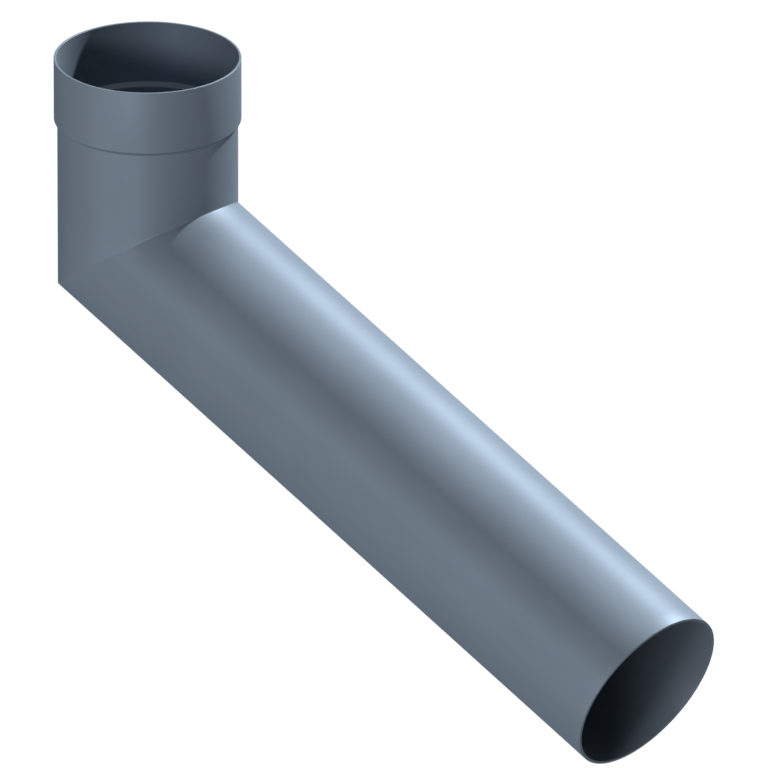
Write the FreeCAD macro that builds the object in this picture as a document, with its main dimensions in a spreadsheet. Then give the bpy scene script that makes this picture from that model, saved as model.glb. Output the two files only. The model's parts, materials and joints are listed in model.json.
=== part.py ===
import FreeCAD, Part
import Sketcher
import math
import os

# Round metal downpipe elbow with a long tail. The short leg stands upright and opens in a swaged
# socket, which takes the pipe from above. The tail runs down and away from it, and its plain end
# enters the next socket. Both tubes were sawn at the same slant, welded and dressed flush, so the
# elbow is one piece with one open way through it.
#
# Frame: the origin is the centre of the socket's mouth. +Z points up out of the socket, and the
# tail heads along +X. Sizes are in millimetres and degrees.

SIZES = {
    # outside diameter and wall of the tube that both legs are cut from
    "pipe_diameter": 101.6,
    "pipe_wall": 1.8,
    # gap all round between the socket and the pipe that enters it
    "socket_clearance": 0.5,
    # wall of the socket, thinned where the tube's end was opened out
    "socket_wall": 1.4,
    # straight depth inside the socket, from the mouth to the stop
    "socket_depth": 36.0,
    # slope of the shoulder to the socket's axis, and the radius of its bends
    "shoulder_angle": 45.0,
    "shoulder_bend": 0.8,
    # plain pipe between the shoulder's foot and the crease at the throat
    "neck_length": 40.5,
    # angle between the two legs
    "included_angle": 112.5,
    # the tail along its back, from the crease at the heel to the sawn end
    "tail_length": 450.0,
    # rounding of the deburred rims
    "rim_round": 0.3,
}

# Formulas that several features share
PIPE_RADIUS = "(sizes.pipe_diameter / 2)"
BORE_RADIUS = f"({PIPE_RADIUS} - sizes.pipe_wall)"
SOCKET_RADIUS = f"({PIPE_RADIUS} + sizes.socket_clearance)"
TURN = "(180 - sizes.included_angle)"
# how far the slanted cut runs along the pipe between the axis and the pipe's side
MITRE_REACH = f"({PIPE_RADIUS} * tan({TURN} / 2))"
# depths below the mouth: inside, the stop and its foot, then outside, the shoulder and its foot
STOP_DEPTH = "sizes.socket_depth"
STOP_FOOT_DEPTH = (
    f"({STOP_DEPTH} + (sizes.socket_clearance + sizes.pipe_wall) / tan(sizes.shoulder_angle))"
)
SHOULDER_DEPTH = f"({STOP_DEPTH} + sizes.socket_wall * tan(sizes.shoulder_angle / 2))"
SHOULDER_FOOT_DEPTH = (
    f"({SHOULDER_DEPTH} + (sizes.socket_clearance + sizes.socket_wall) / tan(sizes.shoulder_angle))"
)
THROAT_DEPTH = f"({SHOULDER_FOOT_DEPTH} + sizes.neck_length)"
# both legs along their axes, from the open end to the point where the axes meet
LEG_AXIS = f"({THROAT_DEPTH} + {MITRE_REACH})"
TAIL_AXIS = f"(sizes.tail_length - {MITRE_REACH})"
TAIL_END_X = f"({TAIL_AXIS} * sin({TURN}))"
TAIL_END_Z = f"(-{LEG_AXIS} - {TAIL_AXIS} * cos({TURN}))"

# how a sketch names a line's ends, a circle's centre, its own origin and its X axis
START, END, CENTRE = 1, 2, 3
ORIGIN = (-1, 1)
X_AXIS = -1

# two places nearer than this are the same place
SAME_PLACE = 1e-3

FULL_TURN = 360


def make_sheet(doc):
    """The driving dimensions, one named cell each."""
    sheet = doc.addObject("Spreadsheet::Sheet", "sizes")
    for row, (name, size) in enumerate(SIZES.items(), start=1):
        sheet.set(f"A{row}", name)
        sheet.set(f"B{row}", str(size))
        sheet.setAlias(f"B{row}", name)
    doc.recompute()
    return sheet


def worth(thing, formula):
    """What a formula comes to with the sheet's present sizes."""
    return float(thing.evalExpression(formula))


def add_to(body, kind, name, support, offset=None):
    """A sketch or a plane that lies flat on its support, moved and turned about Y by formulas."""
    thing = body.newObject(kind, name)
    thing.AttachmentSupport = [(support, "")]
    thing.MapMode = "FlatFace"
    if offset:
        # this turn only sets the axis, because the formula gives the angle
        about_y = FreeCAD.Rotation(FreeCAD.Vector(0, 1, 0), 1)
        thing.AttachmentOffset = FreeCAD.Placement(FreeCAD.Vector(), about_y)
        for setting, formula in offset.items():
            thing.setExpression(f"AttachmentOffset.{setting}", formula)
    return thing


def origin_plane(body, role):
    return next(plane for plane in body.Origin.OriginFeatures if plane.Role == role)


def add_size(sketch, name, kind, *places_and_formula):
    """A named dimension of the sketch that follows the sheet."""
    *places, formula = places_and_formula
    drawn = worth(sketch, formula)
    if kind == "Angle":
        drawn = math.radians(drawn)
    number = sketch.addConstraint(Sketcher.Constraint(kind, *places, drawn))
    sketch.renameConstraint(number, name)
    sketch.setExpression(f"Constraints.{name}", formula)


def add_circle(sketch, name, radius):
    """A circle about the sketch's origin."""
    centre = FreeCAD.Vector(0, 0, 0)
    normal = FreeCAD.Vector(0, 0, 1)
    circle = sketch.addGeometry(Part.Circle(centre, normal, worth(sketch, radius)))
    sketch.addConstraint(Sketcher.Constraint("Coincident", circle, CENTRE, *ORIGIN))
    add_size(sketch, name, "Radius", circle, radius)


def draw_leg_wall(body):
    """Half section of the upright tube before it is sawn: socket, shoulder and plain pipe."""
    sketch = add_to(body, "Sketcher::SketchObject", "leg_wall", origin_plane(body, "XZ_Plane"))
    collar_radius = f"({SOCKET_RADIUS} + sizes.socket_wall)"
    heel_depth = f"({LEG_AXIS} + {MITRE_REACH})"
    corners = [
        (SOCKET_RADIUS, "0"),
        (collar_radius, "0"),
        (collar_radius, SHOULDER_DEPTH),
        (PIPE_RADIUS, SHOULDER_FOOT_DEPTH),
        (PIPE_RADIUS, heel_depth),
        (BORE_RADIUS, heel_depth),
        (BORE_RADIUS, STOP_FOOT_DEPTH),
        (SOCKET_RADIUS, STOP_DEPTH),
    ]
    lines = range(len(corners))
    mouth, collar, shoulder, pipe, sawn_end, bore, stop, socket = lines

    points = [FreeCAD.Vector(worth(sketch, out), -worth(sketch, down), 0) for out, down in corners]
    for line in lines:
        sketch.addGeometry(Part.LineSegment(points[line], points[line - len(points) + 1]))
    for line in lines:
        following = (line + 1) % len(lines)
        sketch.addConstraint(Sketcher.Constraint("Coincident", line, END, following, START))
    for line in (mouth, sawn_end):
        sketch.addConstraint(Sketcher.Constraint("Horizontal", line))
    for line in (collar, pipe, bore, socket):
        sketch.addConstraint(Sketcher.Constraint("Vertical", line))
    sketch.addConstraint(Sketcher.Constraint("PointOnObject", mouth, START, X_AXIS))
    sketch.addConstraint(Sketcher.Constraint("Parallel", shoulder, stop))

    add_size(sketch, "socket_radius", "DistanceX", *ORIGIN, mouth, START, SOCKET_RADIUS)
    add_size(sketch, "rim", "DistanceX", mouth, START, mouth, END, "sizes.socket_wall")
    add_size(sketch, "pipe_radius", "DistanceX", *ORIGIN, pipe, START, PIPE_RADIUS)
    add_size(sketch, "wall", "DistanceX", sawn_end, END, sawn_end, START, "sizes.pipe_wall")
    add_size(sketch, "stop_depth", "DistanceY", socket, START, *ORIGIN, STOP_DEPTH)
    add_size(sketch, "heel_depth", "DistanceY", sawn_end, START, *ORIGIN, heel_depth)
    # the shoulder keeps the socket's wall all the way down its slope
    add_size(sketch, "shoulder_wall", "Distance", shoulder, START, stop, "sizes.socket_wall")
    add_size(sketch, "slope", "Angle", stop, "90 - sizes.shoulder_angle")

    bend = "sizes.shoulder_bend"
    for corner in (collar, shoulder, bore, stop):
        arc = sketch.GeometryCount
        sketch.fillet(corner, END, worth(sketch, bend), True, True)
        add_size(sketch, f"bend_{corner}", "Radius", arc, bend)
    return sketch


def circles_at(feature, *centres):
    """The names of the feature's round edges about these points."""
    names = []
    for number, edge in enumerate(feature.Shape.Edges, start=1):
        if edge.Curve.TypeId != "Part::GeomCircle":
            continue
        if any((edge.Curve.Center - centre).Length < SAME_PLACE for centre in centres):
            names.append(f"Edge{number}")
    return names


def round_off(body, name, feature, centres, radius):
    """Fillet the feature's round edges about these points."""
    fillet = body.newObject("PartDesign::Fillet", name)
    fillet.Base = (feature, circles_at(feature, *centres))
    fillet.setExpression("Radius", radius)
    return fillet


def build_elbow(doc):
    body = doc.addObject("PartDesign::Body", "downpipe_elbow")
    body.Label = "downpipe_elbow"
    level = origin_plane(body, "XY_Plane")

    # the upright leg: a tube with its top end opened out, still whole below the bend
    leg_wall = draw_leg_wall(body)
    leg_tube = body.newObject("PartDesign::Revolution", "leg_tube")
    leg_tube.Profile = (leg_wall, [""])
    leg_tube.ReferenceAxis = (leg_wall, ["V_Axis"])
    leg_tube.Angle = FULL_TURN
    doc.recompute()

    # both tubes are sawn on the plane that halves the bend
    halfway = {"Base.z": f"-{LEG_AXIS}", "Rotation.Angle": f"-{TURN} / 2"}
    mitre = add_to(body, "PartDesign::Plane", "mitre", level, halfway)
    saw_cut = add_to(body, "Sketcher::SketchObject", "saw_cut", level, halfway)
    # twice what the slanted tube needs, so the cut passes it on every side
    add_circle(saw_cut, "reach", f"sizes.pipe_diameter / cos({TURN} / 2)")
    sawn_leg = body.newObject("PartDesign::Pocket", "sawn_leg")
    sawn_leg.Profile = (saw_cut, [""])
    sawn_leg.Type = "ThroughAll"
    doc.recompute()

    # the tail: the plain tube, from its square end back up to the mitre
    square_end = {
        "Base.x": TAIL_END_X,
        "Base.z": TAIL_END_Z,
        "Rotation.Angle": "sizes.included_angle",
    }
    tail_section = add_to(body, "Sketcher::SketchObject", "tail_section", level, square_end)
    add_circle(tail_section, "outside", PIPE_RADIUS)
    add_circle(tail_section, "inside", BORE_RADIUS)
    tail = body.newObject("PartDesign::Pad", "tail")
    tail.Profile = (tail_section, [""])
    tail.Type = "UpToFace"
    tail.UpToFace = (mitre, [""])
    tail.Reversed = True
    doc.recompute()

    mouth = FreeCAD.Vector(0, 0, 0)
    tail_end = FreeCAD.Vector(worth(body, TAIL_END_X), 0, worth(body, TAIL_END_Z))
    # the two rounds leave a third of a thin wall flat between them
    rim_radius = "min(sizes.rim_round; sizes.socket_wall / 3; sizes.pipe_wall / 3)"
    round_off(body, "rims", tail, [mouth, tail_end], rim_radius)
    doc.recompute()
    if not sawn_leg.Shape.Volume < leg_tube.Shape.Volume < tail.Shape.Volume:
        raise ValueError("the saw cut or the tail missed the leg")
    return body


def write_parts(doc, bodies):
    """Check every object and shape, then write each body to its own file."""
    for thing in doc.Objects:
        if "Invalid" in thing.State or "Error" in thing.State:
            raise ValueError(f"{thing.Name} failed: {thing.getStatusString()}")
    for body in bodies:
        shape = body.Shape
        if shape.isNull() or not shape.isValid() or len(shape.Solids) != 1:
            raise ValueError(f"{body.Label} is not one sound solid")
    os.makedirs("parts", exist_ok=True)
    for body in bodies:
        body.Shape.exportStep(f"parts/{body.Label}.step")
        print(body.Label, round(body.Shape.Volume), "cubic millimetres")


def main():
    doc = FreeCAD.newDocument("downpipe_elbow")
    make_sheet(doc)
    write_parts(doc, [build_elbow(doc)])


main()
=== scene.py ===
import json
import math

import bpy
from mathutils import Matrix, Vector


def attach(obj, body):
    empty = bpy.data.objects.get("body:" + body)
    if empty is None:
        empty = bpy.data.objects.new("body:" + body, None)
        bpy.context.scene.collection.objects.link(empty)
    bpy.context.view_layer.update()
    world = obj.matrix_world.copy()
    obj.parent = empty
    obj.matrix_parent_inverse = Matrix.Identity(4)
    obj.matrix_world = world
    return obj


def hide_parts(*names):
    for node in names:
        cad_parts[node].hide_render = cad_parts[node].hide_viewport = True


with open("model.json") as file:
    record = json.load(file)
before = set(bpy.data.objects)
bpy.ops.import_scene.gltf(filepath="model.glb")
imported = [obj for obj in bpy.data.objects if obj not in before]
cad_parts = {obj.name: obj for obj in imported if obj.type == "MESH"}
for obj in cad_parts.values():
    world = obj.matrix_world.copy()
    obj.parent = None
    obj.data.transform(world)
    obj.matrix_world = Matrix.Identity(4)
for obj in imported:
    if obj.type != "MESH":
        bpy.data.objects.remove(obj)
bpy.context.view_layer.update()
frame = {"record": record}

scene = bpy.context.scene
scene.view_settings.view_transform = "Standard"

# what the frame says, in metres

mounts = {mount["name"]: mount for mount in frame["record"]["mounts"]}
SOCKET_R = mounts["socket"]["dims"]["r_mm"] / 1000
PIPE_R = mounts["tail_spigot"]["dims"]["r_mm"] / 1000
TAIL_END = Vector(mounts["tail_end"]["pos_m"])
TAIL_WAY = Vector(mounts["tail_end"]["axis"]).normalized()
# the leg hangs straight down from the origin and the tail leans off along X, so Y is across both
LEG_WAY = Vector((0, 0, -1))
ACROSS = Vector((0, 1, 0))

# the elbow's own sizes, in metres

WALL = 0.0018
SOCKET_WALL = 0.0014
SOCKET_DEPTH = 0.036
SHOULDER_ANGLE = math.radians(45)
SHOULDER_BEND = 0.0008
RIM_ROUND = 0.0003
# the coat fills the crease of the mitre a little, so it is soft and not a knife edge
MITRE_SOFT = 0.0005

# what follows from them

BORE_R = PIPE_R - WALL
COLLAR_R = SOCKET_R + SOCKET_WALL
SHOULDER_TOP = SOCKET_DEPTH + SOCKET_WALL * math.tan(SHOULDER_ANGLE / 2)
SHOULDER_FOOT = SHOULDER_TOP + (COLLAR_R - PIPE_R) / math.tan(SHOULDER_ANGLE)
STOP_FOOT = SOCKET_DEPTH + (SOCKET_R - BORE_R) / math.tan(SHOULDER_ANGLE)
# the axes meet where the tail's axis, followed back, comes to the leg's
AXES_MEET = TAIL_END - TAIL_WAY * (TAIL_END.x / TAIL_WAY.x)
LEG_LENGTH = -AXES_MEET.z
TAIL_LENGTH = (TAIL_END - AXES_MEET).length
# the slanted cut runs this far along a pipe, for each metre out from its axis
SLANT = math.tan(LEG_WAY.angle(TAIL_WAY) / 2)
# the way out from the tail's axis that meets the leg's +X at the mitre
TAIL_OUT = TAIL_WAY.cross(ACROSS)

# how finely the mesh is divided

AROUND = 256
ARC_STEPS = 5
LEG_STEPS = 12
TAIL_STEPS = 40
# the plain pipe's even steps start this far below the foot of the shoulder and of the stop
BELOW_FOOT = 0.002
TURNS = [2 * math.pi * number / AROUND for number in range(AROUND)]

# the elbow's wall


def on_leg(radius, depth, turn):
    """A point round the leg, where a turn of 0 is the throat's side and half a circle is the heel's."""
    return Vector((radius * math.cos(turn), radius * math.sin(turn), -depth))


def on_tail(radius, along, turn):
    """A point round the tail, this far along its axis from where the axes meet."""
    out = TAIL_OUT * math.cos(turn) + ACROSS * math.sin(turn)
    return AXES_MEET + out * radius + TAIL_WAY * along


def slant(radius, turn):
    """How much nearer to its own open end than the axes' meeting each tube is cut here."""
    return radius * math.cos(turn) * SLANT


def on_leg_wall(radius, depth, share, turn):
    """A point of the leg's plain pipe, from this depth at a share of 0 to the crease at 1."""
    crease = LEG_LENGTH - slant(radius, turn) - MITRE_SOFT
    return on_leg(radius, depth + (crease - depth) * share, turn)


def on_mitre(radius, share, turn):
    """A point of the soft crease, a curve from the leg's wall at a share of 0 to the tail's at 1."""
    corner = on_leg(radius, LEG_LENGTH - slant(radius, turn), turn)
    first, last = corner - LEG_WAY * MITRE_SOFT, corner + TAIL_WAY * MITRE_SOFT
    return first.lerp(corner, share).lerp(corner.lerp(last, share), share)


def on_tail_wall(radius, share, turn):
    """A point of the tail, from the crease at a share of 0 to where its end's rim rounds off at 1."""
    crease = slant(radius, turn) + MITRE_SOFT
    return on_tail(radius, crease * (1 - share) + (TAIL_LENGTH - RIM_ROUND) * share, turn)


def ring_of(place, *where):
    """Points all the way round the elbow, from one of the functions above."""
    return [place(*where, turn) for turn in TURNS]


def shares(count):
    """Even steps from 0 to 1, both included."""
    return [number / count for number in range(count + 1)]


def rim(radius, depth, start):
    """Radii and depths round a rim's edge: a quarter turn about this centre, from this many degrees on."""
    turns = [math.radians(start + 90 * share) for share in shares(ARC_STEPS)]
    return [(radius + RIM_ROUND * math.cos(turn), depth + RIM_ROUND * math.sin(turn)) for turn in turns]


def bend_at(before, corner, after):
    """Radii and depths round the bend at a corner of the leg's section."""
    corner = Vector(corner)
    back, on = (Vector(before) - corner).normalized(), (Vector(after) - corner).normalized()
    half = back.angle(on) / 2
    centre = corner + (back + on).normalized() * (SHOULDER_BEND / math.sin(half))
    reach = SHOULDER_BEND / math.tan(half)
    first, last = back * reach + corner - centre, on * reach + corner - centre
    return [centre + first.lerp(last, share).normalized() * SHOULDER_BEND for share in shares(ARC_STEPS)]


def swage(radius, far_radius, top, foot):
    """The two bends of a wall that slopes in to the plain pipe, from its top to its foot."""
    line = [(radius, RIM_ROUND), (radius, top), (far_radius, foot), (far_radius, foot + BELOW_FOOT)]
    return bend_at(*line[:3]) + bend_at(*line[1:])


def straight_walls(radius, depth):
    """Rings down the leg's plain pipe from this depth, over the crease and along the tail."""
    rings = [ring_of(on_leg_wall, radius, depth, share) for share in shares(LEG_STEPS)]
    rings += [ring_of(on_mitre, radius, share) for share in shares(ARC_STEPS)[1:-1]]
    rings += [ring_of(on_tail_wall, radius, share) for share in shares(TAIL_STEPS)]
    return rings


def wall_rings():
    """The whole wall's surface: down its outside to the tail's end and back up inside it."""
    outside = rim(COLLAR_R - RIM_ROUND, RIM_ROUND, -90)
    outside += swage(COLLAR_R, PIPE_R, SHOULDER_TOP, SHOULDER_FOOT)
    # the first of these starts, and the second ends, on a ring that the straight walls have already
    end = rim(PIPE_R - RIM_ROUND, TAIL_LENGTH - RIM_ROUND, 0)[1:]
    end += rim(BORE_R + RIM_ROUND, TAIL_LENGTH - RIM_ROUND, 90)[:-1]
    inside = swage(SOCKET_R, BORE_R, SOCKET_DEPTH, STOP_FOOT)[::-1]
    inside += rim(SOCKET_R + RIM_ROUND, RIM_ROUND, 180)

    rings = [ring_of(on_leg, *place) for place in outside]
    rings += straight_walls(PIPE_R, SHOULDER_FOOT + BELOW_FOOT)
    rings += [ring_of(on_tail, *place) for place in end]
    rings += straight_walls(BORE_R, STOP_FOOT + BELOW_FOOT)[::-1]
    rings += [ring_of(on_leg, *place) for place in inside]
    return rings


def skin(name, rings):
    """A closed mesh of quads through rings of points; the last ring joins the first."""
    verts = [tuple(point) for ring in rings for point in ring]
    faces = []
    for number in range(len(rings)):
        here, there = number * AROUND, (number + 1) % len(rings) * AROUND
        for side in range(AROUND):
            on = (side + 1) % AROUND
            faces.append((here + side, there + side, there + on, here + on))
    mesh = bpy.data.meshes.new(name)
    mesh.from_pydata(verts, [], faces)
    mesh.polygons.foreach_set("use_smooth", [True] * len(faces))
    mesh.update()
    piece = bpy.data.objects.new(name, mesh)
    scene.collection.objects.link(piece)
    return piece


elbow = skin("elbow_tube", wall_rings())
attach(elbow, "root")
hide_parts("downpipe_elbow")

# materials in general


def feed(tree, value, socket):
    """Set an input to this value, or link it where the value is a node's output."""
    if isinstance(value, bpy.types.NodeSocket):
        tree.links.new(value, socket)
    else:
        socket.default_value = value


def add_node(tree, kind, *first, **named):
    """A node whose first inputs, and those named, are fed these values."""
    node = tree.nodes.new(kind)
    for number, value in enumerate(first):
        feed(tree, value, node.inputs[number])
    for name, value in named.items():
        feed(tree, value, node.inputs[name.replace("_", " ")])
    return node


def new_material(name):
    """An empty node material, its node tree and its surface input."""
    material = bpy.data.materials.new(name)
    material.use_nodes = True
    tree = material.node_tree
    tree.nodes.clear()
    return material, tree, tree.nodes.new("ShaderNodeOutputMaterial").inputs["Surface"]


# the coat

COAT_DARK = (0.141, 0.177, 0.219, 1)
COAT_LIGHT = (0.153, 0.191, 0.236, 1)
# all of its sheen is metallic
COAT_METAL = 0.26
# what it mirrors at a flat angle is toned down to this
COAT_EDGE = (0.3, 0.35, 0.41, 1)
COAT_GLOSSIER, COAT_DULLER = 0.452, 0.468
PEEL_STRENGTH, PEEL_HEIGHT = 0.25, 0.00005
# how many clouds of tone or gloss, and bumps of the peel, come to a metre
TONE_SCALE, GLOSS_SCALE, PEEL_SCALE = 14, 40, 500
TONE_DETAIL = 3
# most of a noise's values lie between these
NOISE_LOW, NOISE_HIGH = 0.3, 0.7


def noise(tree, place, scale, detail=2):
    """Noise with this many cells to a metre; the more detail, the finer the noise within them."""
    return add_node(tree, "ShaderNodeTexNoise", Vector=place, Scale=scale, Detail=detail).outputs["Fac"]


def spread(tree, value, low, high):
    """A noise with its usual values spread from low to high."""
    mapped = add_node(
        tree,
        "ShaderNodeMapRange",
        Value=value,
        From_Min=NOISE_LOW,
        From_Max=NOISE_HIGH,
        To_Min=low,
        To_Max=high,
    )
    return mapped.outputs["Result"]


def powder_coat():
    """Satin blue-grey powder coat: faint clouds in tone and gloss, and a fine orange peel."""
    material, tree, surface = new_material("satin_powder_coat")
    place = tree.nodes.new("ShaderNodeTexCoord").outputs["Object"]
    tone = tree.nodes.new("ShaderNodeMix")
    tone.data_type = "RGBA"
    feed(tree, spread(tree, noise(tree, place, TONE_SCALE, TONE_DETAIL), 0, 1), tone.inputs["Factor"])
    feed(tree, COAT_DARK, tone.inputs["A"])
    feed(tree, COAT_LIGHT, tone.inputs["B"])
    peel = add_node(
        tree,
        "ShaderNodeBump",
        Strength=PEEL_STRENGTH,
        Distance=PEEL_HEIGHT,
        Height=noise(tree, place, PEEL_SCALE),
    )
    shader = add_node(
        tree,
        "ShaderNodeBsdfPrincipled",
        Base_Color=tone.outputs["Result"],
        Roughness=spread(tree, noise(tree, place, GLOSS_SCALE), COAT_GLOSSIER, COAT_DULLER),
        Metallic=COAT_METAL,
        Specular_IOR_Level=0,
        Specular_Tint=COAT_EDGE,
        Normal=peel.outputs["Normal"],
    )
    feed(tree, shader.outputs["BSDF"], surface)
    return material


elbow.data.materials.append(powder_coat())

# floor and surroundings

WHITE = (1, 1, 1, 1)
FLOOR_Z = -0.9
FLOOR_SIZE = 40
FLOOR_PAINT = (0.2, 0.2, 0.2, 1)
# with the light on its paint, this much glow brings the floor to white
FLOOR_GLOW = 0.67


def seen_by_eye(tree):
    """1 for rays that show a surface, straight or mirrored, and 0 for rays that only light one."""
    path = tree.nodes.new("ShaderNodeLightPath")
    total = path.outputs["Is Camera Ray"]
    for name in ("Is Glossy Ray", "Is Transmission Ray"):
        adding = add_node(tree, "ShaderNodeMath", total, path.outputs[name])
        adding.operation = "ADD"
        adding.use_clamp = True
        total = adding.outputs[0]
    return total


def pale_floor():
    """White to the eye apart from the object's shadow, and open from below."""
    material, tree, surface = new_material("pale_floor")
    paint = add_node(tree, "ShaderNodeBsdfDiffuse", Color=FLOOR_PAINT)
    strength = add_node(tree, "ShaderNodeMath", seen_by_eye(tree), FLOOR_GLOW)
    strength.operation = "MULTIPLY"
    glow = add_node(tree, "ShaderNodeEmission", Strength=strength.outputs[0])
    both = add_node(tree, "ShaderNodeAddShader", paint.outputs[0], glow.outputs[0])
    below = tree.nodes.new("ShaderNodeNewGeometry").outputs["Backfacing"]
    clear = tree.nodes.new("ShaderNodeBsdfTransparent").outputs[0]
    sided = add_node(tree, "ShaderNodeMixShader", below, both.outputs[0], clear)
    feed(tree, sided.outputs[0], surface)
    return material


bpy.ops.mesh.primitive_plane_add(size=FLOOR_SIZE, location=(0, 0, FLOOR_Z))
floor = bpy.context.object
floor.name = "floor"
floor.data.materials.append(pale_floor())

world = bpy.data.worlds.new("studio")
scene.world = world
world.use_nodes = True
sky = world.node_tree.nodes["Background"]
feed(world.node_tree, WHITE, sky.inputs["Color"])
feed(world.node_tree, seen_by_eye(world.node_tree), sky.inputs["Strength"])

# lamps

ELBOW_MIDDLE = Vector((0.15, 0, -0.15))
# how far off a far lamp stands, though it lights the same from any distance
FAR = 10


def way(azimuth, elevation):
    """The way to a place this many degrees round from the front (-Y) towards +X, and this many up."""
    azimuth, elevation = math.radians(azimuth), math.radians(elevation)
    flat = math.cos(elevation)
    return Vector((math.sin(azimuth) * flat, -math.cos(azimuth) * flat, math.sin(elevation)))


def look_from(name, data, middle, toward, distance):
    """A lamp or camera that looks at this middle, from this way and this far off."""
    looking = bpy.data.objects.new(name, data)
    scene.collection.objects.link(looking)
    looking.location = middle + toward * distance
    looking.rotation_mode = "QUATERNION"
    looking.rotation_quaternion = toward.to_track_quat("Z", "Y")
    return looking


def lamp_at(name, kind, azimuth, elevation, distance):
    """A lamp that shines on the elbow from this way, and that the camera doesn't see."""
    data = bpy.data.lights.new(name, kind)
    lamp = look_from(name, data, ELBOW_MIDDLE, way(azimuth, elevation), distance)
    lamp.visible_camera = False
    return data


def far_lamp(name, azimuth, elevation, half_width, strength):
    """A round lamp so far away that it lights the whole elbow evenly."""
    lamp = lamp_at(name, "SUN", azimuth, elevation, FAR)
    lamp.angle = math.radians(2 * half_width)
    lamp.energy = strength


def near_lamp(name, azimuth, elevation, half_width, strength, distance):
    """A round lamp between the elbow and the floor, which light from far away can't pass."""
    lamp = lamp_at(name, "AREA", azimuth, elevation, distance)
    radius = distance * math.tan(math.radians(half_width))
    lamp.shape = "DISK"
    lamp.size = 2 * radius
    # the power at which a disc this wide gives this strength on the elbow
    lamp.energy = strength * math.pi * (distance ** 2 + radius ** 2)


far_lamp("key", azimuth=174, elevation=41.5, half_width=1.5, strength=7.4)
far_lamp("behind", azimuth=-136.5, elevation=72, half_width=8, strength=0.65)
far_lamp("left", azimuth=-14.5, elevation=15, half_width=8, strength=0.37)
far_lamp("front_left", azimuth=13.5, elevation=12, half_width=6, strength=0.81)
near_lamp("low_left", azimuth=-16.5, elevation=-20, half_width=12, strength=0.3, distance=1.6)
near_lamp("low_front", azimuth=23.5, elevation=-10, half_width=12, strength=0.74, distance=2.5)

# camera

AZIMUTH, ELEVATION = 43.48, 23.2
# a long lens from far off stands for the photo's parallel projection
DISTANCE = 18.66
SENSOR_MM, LENS_MM = 36, 1556.4
# how far right of and below the axes' meeting the picture's middle lies
MIDDLE_RIGHT, MIDDLE_BELOW = 0.1326, 0.0794

back = way(AZIMUTH, ELEVATION)
right = way(AZIMUTH + 90, 0)
above = back.cross(right)
picture_middle = AXES_MEET + right * MIDDLE_RIGHT - above * MIDDLE_BELOW
camera = look_from("camera", bpy.data.cameras.new("camera"), picture_middle, back, DISTANCE)
camera.data.sensor_width = SENSOR_MM
camera.data.lens = LENS_MM
scene.camera = camera
